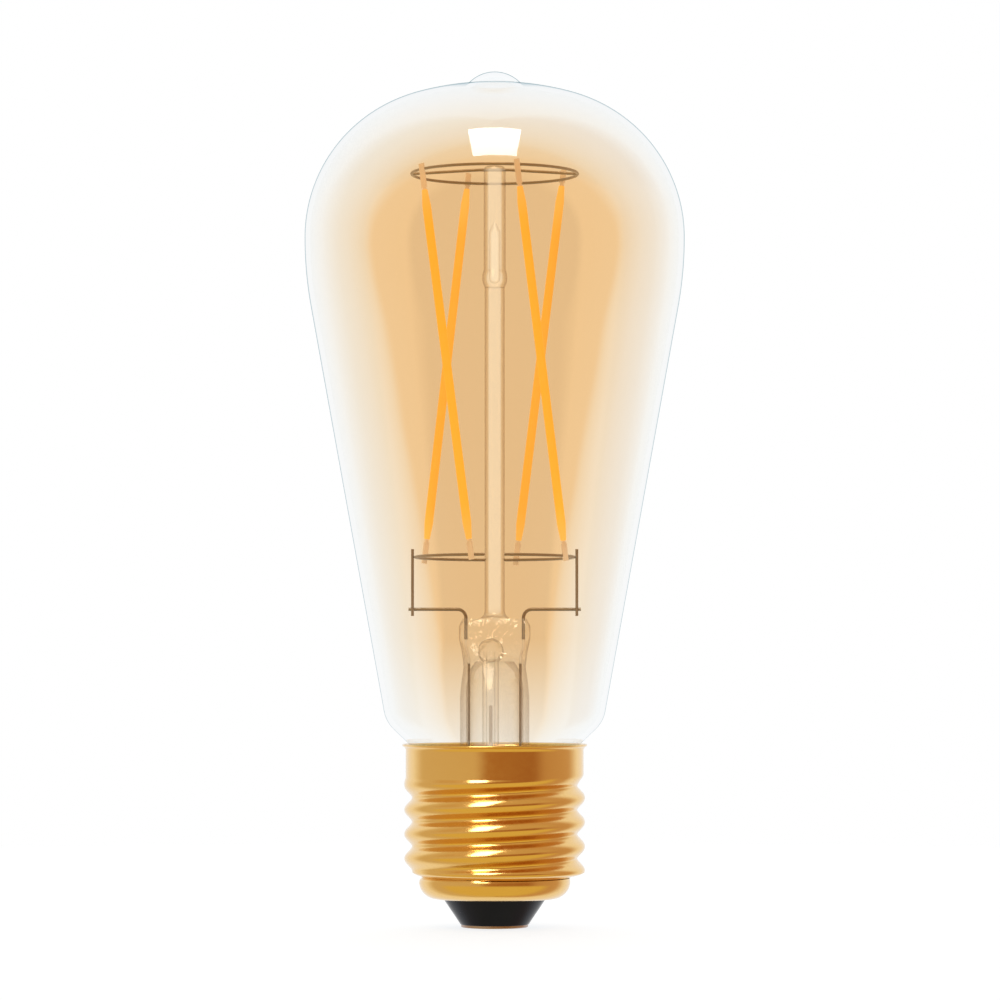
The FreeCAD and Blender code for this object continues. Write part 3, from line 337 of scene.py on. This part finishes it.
finishes = {
    "nickel_wire": makeMetal(
        "nickelWire", (0.42, 0.38, 0.33), (0.34, 0.30, 0.26), 0.35, metallic=0.35,
    ),
    "dumet_wire": makeMetal("dumetWire", (0.55, 0.22, 0.13), (0.40, 0.15, 0.09), 0.35),
    "copper_wire": makeMetal(
        "copperWire", (0.46, 0.41, 0.36), (0.38, 0.34, 0.30), 0.35, metallic=0.35,
    ),
    # the filament tabs get a painted glow of strength 0.2; they are no lamp
    "led_tab": makePlain("filamentTab", (0.92, 0.84, 0.72), (0.82, 0.72, 0.58), 0.35, paintedGlow=0.2),
    "led_strip": makePlain("filamentStrip", (0.88, 0.84, 0.76), (0.80, 0.75, 0.66), 0.5),
    "led_chip": makePlain("filamentChip", (0.30, 0.38, 0.60), (0.22, 0.28, 0.48), 0.2),
    "contact_brass": makeMetal("contactBrass", (0.50, 0.38, 0.32), (0.36, 0.26, 0.22), 0.30),
    "solder": makeMetal("solderFill", (0.66, 0.65, 0.63), (0.48, 0.47, 0.46), 0.38),
    "cement": makePlain("basingCement", (0.76, 0.69, 0.56), (0.64, 0.57, 0.45), 0.9, 400.0, 0.5),
    "white_plastic": makePlain("sleevePlastic", (0.86, 0.86, 0.84), (0.80, 0.80, 0.78), 0.5),
    "green_board": makePlain("boardMask", (0.03, 0.20, 0.09), (0.02, 0.14, 0.06), 0.35),
    "black_board": makePlain("radioMask", (0.025, 0.03, 0.04), (0.015, 0.02, 0.03), 0.35),
    "shield_steel": makeMetal("shieldSteel", (0.66, 0.66, 0.65), (0.55, 0.55, 0.55), 0.3),
    "chip_plastic": makePlain("chipPlastic", (0.045, 0.045, 0.045), (0.03, 0.03, 0.03), 0.55),
    "smd_ceramic": makePlain("chipCeramic", (0.60, 0.46, 0.30), (0.48, 0.36, 0.24), 0.5),
    "ferrite": makePlain("ferriteCore", (0.10, 0.10, 0.10), (0.06, 0.06, 0.06), 0.6),
    "winding_copper": makeMetal("windingCopper", (0.75, 0.33, 0.12), (0.55, 0.22, 0.08), 0.3),
    "capacitor_aluminium": makeMetal("capacitorCan", (0.76, 0.76, 0.78), (0.64, 0.64, 0.66), 0.3),
    "black_rubber": makePlain("bungRubber", (0.035, 0.035, 0.035), (0.02, 0.02, 0.02), 0.7),
    "resistor_coat": makePlain("resistorCoat", (0.40, 0.58, 0.54), (0.32, 0.48, 0.45), 0.4),
    "tinned_wire": makeMetal("tinnedWire", (0.72, 0.72, 0.70), (0.58, 0.58, 0.57), 0.3),
    "red_insulation": makePlain("redInsulation", (0.58, 0.05, 0.04), (0.46, 0.03, 0.03), 0.35),
    "white_insulation": makePlain("whiteInsulation", (0.85, 0.85, 0.83), (0.76, 0.76, 0.74), 0.35),
    "stem_glass": makeStemGlass(),
    "cap_brass": makeCapBrass(),
    "led_phosphor": makeGlow("filamentGlow", glow["front"]),
}


insulatorLook = {"light": (0.012, 0.012, 0.015), "dark": (0.007, 0.007, 0.009)}


def makeBlackInsulator():
    finish = newFinish("blackInsulator")
    fine = finish.noise(700.0, 4.0)
    return finish.principled(
        Base_Color=finish.blend(finish.noise(200.0), insulatorLook["dark"], insulatorLook["light"]),
        Roughness=finish.span(fine, 0.3, 0.7, 0.12, 0.2), IOR=1.22, Specular_Tint=(0.5, 0.65, 1.0),
        Normal=finish.bump(fine, 0.08, 0.02 * mm),
    )


finishes["black_insulator"] = makeBlackInsulator()
backGlow = makeGlow("filamentGlowBack", glow["back"])

slotOf = {part["node"]: part["material_slot"] for part in frame["record"]["subparts"]}
for name, node in frame["nodes"].items():
    if slotOf[name] in finishes:
        for slot in node.material_slots:
            slot.material = finishes[slotOf[name]]
for number in glow["backFilaments"]:
    for slot in frame["nodes"][f"filament_{number}_phosphor"].material_slots:
        slot.material = backGlow
print("finishes made")


def arcFrom(mesh, vert, centre, sweep, steps):  # a plus sweep turns from up to outwards
    spun = bmesh.ops.spin(
        mesh, geom=[vert], cent=(centre[0], 0, centre[1]), axis=(0, 1, 0),
        angle=math.radians(sweep), steps=steps, dvec=(0, 0, 0), use_merge=False,
        use_duplicate=False,
    )
    return [part for part in spun["geom_last"] if isinstance(part, bmesh.types.BMVert)][0]


def lineFrom(mesh, vert, target, steps):
    start, end = vert.co.copy(), Vector((target[0], 0, target[1]))
    for step in range(1, steps + 1):
        made = bmesh.ops.extrude_vert_indiv(mesh, verts=[vert])
        vert = made["verts"][0]
        vert.co = start.lerp(end, step / steps)
    return vert


def turn(mesh, steps):
    bmesh.ops.spin(
        mesh, geom=mesh.verts[:] + mesh.edges[:], cent=(0, 0, 0), axis=(0, 0, 1), angle=math.tau,
        steps=steps, dvec=(0, 0, 0), use_merge=True, use_duplicate=False,
    )
    bmesh.ops.remove_doubles(mesh, verts=mesh.verts[:], dist=0.002)
    bmesh.ops.recalc_face_normals(mesh, faces=mesh.faces[:])


def makePiece(name, mesh, looks, replaced):  # mesh is in millimetres
    bmesh.ops.scale(mesh, vec=(mm, mm, mm), verts=mesh.verts[:])
    for face in mesh.faces:
        face.smooth = True
    data = bpy.data.meshes.new(name)
    mesh.to_mesh(data)
    mesh.free()
    piece = bpy.data.objects.new(name, data)
    bpy.context.collection.objects.link(piece)
    for look in looks:
        data.materials.append(look)
    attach(piece, "root")
    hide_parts(*replaced)
    return piece


def giveWall(piece, thickness, inside=0):  # the drawn surface is the outside of the wall
    wall = piece.modifiers.new("wall", "SOLIDIFY")
    wall.thickness = thickness * mm
    wall.offset = -1.0
    wall.material_offset = inside
    wall.use_even_offset = True


envelope = {
    "tipTop": 128.2, "tipR": 5.4, "tipFillet": 0.7, "crownTop": 126.4, "shoulderR": 22.3,
    "beltR": 58.0, "maxR": 28.5, "maxZ": 103.2, "taper": 10.3, "heelStart": 32.2, "heelR": 5.0,
    "heelAngle": 46.0, "neckR": 11.6, "neckBend": 1.5, "neckEnd": 22.3, "wall": 0.8, "sides": 176,
}
envelopeSteps = {
    "tip": 12, "fillet": 6, "crown": 10, "shoulder": 36, "belt": 10, "taper": 30, "heel": 10,
    "cone": 4, "bend": 6, "neck": 3,
}


def makeEnvelope():
    e, steps = envelope, envelopeSteps
    mesh = bmesh.new()
    shoulderX = e["maxR"] - e["shoulderR"]
    drop = e["crownTop"] - e["maxZ"]
    crownR = (shoulderX**2 + drop**2 - e["shoulderR"] ** 2) / (2 * (drop - e["shoulderR"]))
    crownZ, tipZ = e["crownTop"] - crownR, e["tipTop"] - e["tipR"]
    near, far, apart = e["tipR"] + e["tipFillet"], crownR + e["tipFillet"], tipZ - crownZ
    rise = (far**2 - near**2 - apart**2) / (2 * apart)
    filletX = math.sqrt(near**2 - rise**2)
    tipTurn = math.degrees(math.atan2(rise, filletX))
    crownTurn = math.degrees(math.atan2(tipZ + rise - crownZ, filletX))
    shoulderTurn = math.degrees(math.atan2(e["maxZ"] - crownZ, shoulderX))
    vert = mesh.verts.new((0, 0, e["tipTop"]))
    vert = arcFrom(mesh, vert, (0, tipZ), 90 - tipTurn, steps["tip"])
    vert = arcFrom(mesh, vert, (filletX, tipZ + rise), tipTurn - crownTurn, steps["fillet"])
    vert = arcFrom(mesh, vert, (0, crownZ), crownTurn - shoulderTurn, steps["crown"])
    vert = arcFrom(mesh, vert, (shoulderX, e["maxZ"]), shoulderTurn, steps["shoulder"])
    beltX = e["maxR"] - e["beltR"]
    vert = arcFrom(mesh, vert, (beltX, e["maxZ"]), e["taper"], steps["belt"])
    slope = math.radians(e["taper"])
    heelTopR = vert.co.x - (vert.co.z - e["heelStart"]) * math.tan(slope)
    vert = lineFrom(mesh, vert, (heelTopR, e["heelStart"]), steps["taper"])
    heelX = heelTopR - e["heelR"] * math.cos(slope)
    heelZ = e["heelStart"] + e["heelR"] * math.sin(slope)
    vert = arcFrom(mesh, vert, (heelX, heelZ), e["heelAngle"] - e["taper"], steps["heel"])
    steep = math.radians(e["heelAngle"])
    bendX = e["neckR"] + e["neckBend"]
    coneX = bendX - e["neckBend"] * math.cos(steep)
    coneZ = vert.co.z - (vert.co.x - coneX) / math.tan(steep)
    bendZ = coneZ - e["neckBend"] * math.sin(steep)
    vert = lineFrom(mesh, vert, (coneX, coneZ), steps["cone"])
    vert = arcFrom(mesh, vert, (bendX, bendZ), -e["heelAngle"], steps["bend"])
    lineFrom(mesh, vert, (e["neckR"], e["neckEnd"]), steps["neck"])
    turn(mesh, e["sides"])
    glass = [makeAmber("amberGlassOutside", True), makeAmber("amberGlassInside", False)]
    piece = makePiece("glassEnvelope", mesh, glass, ["glass_envelope"])
    giveWall(piece, e["wall"], 1)
    return piece


cap = {
    "holeR": 7.3, "bottom": 4.55, "bendR": 2.3, "barrelR": 11.0, "majorR": 13.2, "minorR": 12.05,
    "dip": 0.1, "dipTop": 7.5, "skirtR": 13.0, "swellTop": 8.4, "skirtZ": (21.5, 22.3),
    "rimZ": 26.35, "rimR": 0.95, "rimTurn": 78.0, "pitch": 3.629, "firstCrest": 8.4,
    "fadeIn": (6.9, 8.3), "fadeOut": (21.4, 22.8), "wall": 0.3, "sides": 168,
}
capSteps = {"bottom": 3, "bend": 14, "barrel": 118, "rim": 8}


def ease(value, low, high):
    share = min(1.0, max(0.0, (value - low) / (high - low)))
    return share * share * (3 - 2 * share)


def capOffset(z, share):  # how far the rolled sheet stands out from the plain barrel
    c = cap
    barrelZ = c["bottom"] + c["bendR"]
    place = (z - c["firstCrest"]) / c["pitch"] - share
    wave = (1 - math.cos(math.tau * place)) / 2
    middle = c["firstCrest"] + c["pitch"] * (share + math.floor(place) + 0.5)
    fade = ease(middle, *c["fadeIn"]) * (1 - ease(middle, *c["fadeOut"]))
    depth = (c["majorR"] - c["minorR"]) * fade
    dip = c["dip"] * ease(z, barrelZ, c["dipTop"])
    swell = (c["majorR"] - c["barrelR"] + c["dip"]) * ease(z, c["dipTop"], c["swellTop"])
    drop = (c["majorR"] - c["skirtR"]) * ease(z, *c["skirtZ"])
    return swell - dip - drop - wave * depth


def makeCap():
    c = cap
    mesh = bmesh.new()
    bendX, bendZ = c["barrelR"] - c["bendR"], c["bottom"] + c["bendR"]
    vert = mesh.verts.new((c["holeR"], 0, c["bottom"]))
    vert = lineFrom(mesh, vert, (bendX, c["bottom"]), capSteps["bottom"])
    vert = arcFrom(mesh, vert, (bendX, bendZ), -90.0, capSteps["bend"])
    vert = lineFrom(mesh, vert, (c["barrelR"], c["rimZ"]), capSteps["barrel"])
    arcFrom(mesh, vert, (c["barrelR"] + c["rimR"], c["rimZ"]), c["rimTurn"], capSteps["rim"])
    turn(mesh, c["sides"])
    for vert in mesh.verts:
        share = (math.atan2(vert.co.y, vert.co.x) / math.tau) % 1.0
        radius = math.hypot(vert.co.x, vert.co.y)
        stretch = (radius + capOffset(vert.co.z, share)) / radius
        vert.co.x *= stretch
        vert.co.y *= stretch
    bmesh.ops.recalc_face_normals(mesh, faces=mesh.faces[:])
    piece = makePiece("threadedCap", mesh, [finishes["cap_brass"]], ["screw_cap"])
    giveWall(piece, c["wall"])
    return piece


envelopePiece = makeEnvelope()
capPiece = makeCap()
print("pieces made")


studio = {  # the room's colours round the lamp: 0 is behind it, 0.25 left, 0.5 in front, 0.75 right
    "stops": [
        (0.0, (0.95, 0.96, 0.98)), (0.14, (1.0, 1.0, 1.0)), (0.20, (0.72, 0.60, 0.42)),
        (0.43, (0.70, 0.56, 0.37)), (0.475, (0.45, 0.22, 0.08)), (0.645, (0.40, 0.18, 0.07)),
        (0.69, (0.58, 0.36, 0.20)), (0.81, (0.65, 0.44, 0.27)), (0.87, (1.0, 1.0, 1.0)),
        (1.0, (0.95, 0.96, 0.98)),
    ],
    "above": (0.66, 0.48, 0.27),
    "aboveEdge": (0.20, 0.45),
    "below": (0.78, 0.62, 0.22),
    "belowEdge": (-0.12, -0.30),
    "frontEdge": (0.15, -0.25),  # only the half of the room in front has another above and below
}


def makeWorld():
    world = bpy.data.worlds.new("studio")
    bpy.context.scene.world = world
    finish = Finish(world, "ShaderNodeOutputWorld")
    way = finish.node("ShaderNodeTexCoord", output="Generated")
    across, along, up = (finish.node("ShaderNodeSeparateXYZ", {}, {0: way}, axis) for axis in "XYZ")
    turned = across.maths("ARCTAN2", 0 - along) / math.tau + 0.5
    room = finish.ramp(turned, studio["stops"])
    front = finish.span(along, *studio["frontEdge"])
    room = finish.blend(front * finish.span(up, *studio["aboveEdge"]), room, studio["above"])
    room = finish.blend(front * finish.span(up, *studio["belowEdge"]), room, studio["below"])
    seen = finish.node("ShaderNodeLightPath", output="Is Camera Ray")
    colour = finish.blend(seen, room, (1.0, 1.0, 1.0))
    finish.surface(finish.node("ShaderNodeBackground", {}, {"Color": colour}))


softBoxes = {
    "overhead": {
        "spot": (0.0, -0.348, 0.954), "aim": (0.0, -0.023, 0.115), "size": (0.36, 0.42),
        "radiance": 7.0,
    },
    "frontKey": {
        "spot": (-0.19, -0.49, 0.56), "aim": (0.0, 0.0, 0.02), "size": (0.32, 0.85),
        "radiance": 4.8,
    },
}


def makeSoftBox(name, receivers):
    box = softBoxes[name]
    light = bpy.data.lights.new(name, "AREA")
    light.shape = "RECTANGLE"
    light.size, light.size_y = box["size"]
    light.energy = box["radiance"] * math.pi * light.size * light.size_y
    lamp = bpy.data.objects.new(name, light)
    lamp.location = box["spot"]
    aim = Vector(box["aim"]) - Vector(box["spot"])
    lamp.rotation_euler = aim.to_track_quat("-Z", "Y").to_euler()
    lamp.visible_camera = False
    lit = bpy.data.collections.new(name + "Receivers")
    for receiver in receivers:
        lit.objects.link(receiver)
    lamp.light_linking.receiver_collection = lit
    bpy.context.collection.objects.link(lamp)


ground = {
    "radius": 0.28, "sides": 96, "grain": 30.0, "dark": (0.24, 0.24, 0.24),
    "light": (0.26, 0.26, 0.26), "rough": 0.9, "glow": (0.927, 0.964, 1.0), "glowPower": 0.85,
}


def makeFloor():
    mesh = bmesh.new()
    bmesh.ops.create_circle(mesh, cap_ends=True, segments=ground["sides"], radius=ground["radius"])
    data = bpy.data.meshes.new("floor")
    mesh.to_mesh(data)
    mesh.free()
    floor = bpy.data.objects.new("floor", data)
    bpy.context.collection.objects.link(floor)
    finish = newFinish("paleFloor")
    white = finish.blend(finish.noise(ground["grain"]), ground["dark"], ground["light"])
    data.materials.append(finish.principled(
        Base_Color=white, Roughness=ground["rough"],
        Emission_Color=ground["glow"], Emission_Strength=ground["glowPower"],
    ))
    floor.visible_glossy = False


view = {  # metres, and the lens in millimetres and its rise in degrees
    "distance": 0.6238, "height": 0.04005, "side": 0.0008, "lens": 150.0, "sensor": 36.0,
    "rise": 2.178, "near": 0.01, "far": 50.0,
}


def makeCamera():
    data = bpy.data.cameras.new("camera")
    data.lens = view["lens"]
    data.sensor_width = view["sensor"]
    data.clip_start, data.clip_end = view["near"], view["far"]
    camera = bpy.data.objects.new("camera", data)
    camera.location = (view["side"], -view["distance"], view["height"])
    camera.rotation_euler = (math.radians(90 + view["rise"]), 0, 0)
    bpy.context.collection.objects.link(camera)
    bpy.context.scene.camera = camera


makeWorld()
makeFloor()
nodes = frame["nodes"]
stemNodes = [node for name, node in nodes.items() if slotOf[name] == "stem_glass"]
capNodes = [nodes[name] for name in ("cap_insulator", "centre_contact")]
upperNodes = [node for name, node in nodes.items() if name not in ("screw_cap", "cap_insulator")]
makeSoftBox("overhead", [*upperNodes, envelopePiece])
makeSoftBox("frontKey", [*stemNodes, *capNodes, capPiece])
makeCamera()
scene = bpy.context.scene
scene.view_settings.view_transform = "Standard"
scene.cycles.transparent_max_bounces = 24  # a view crosses many clear surfaces
print("studio made")
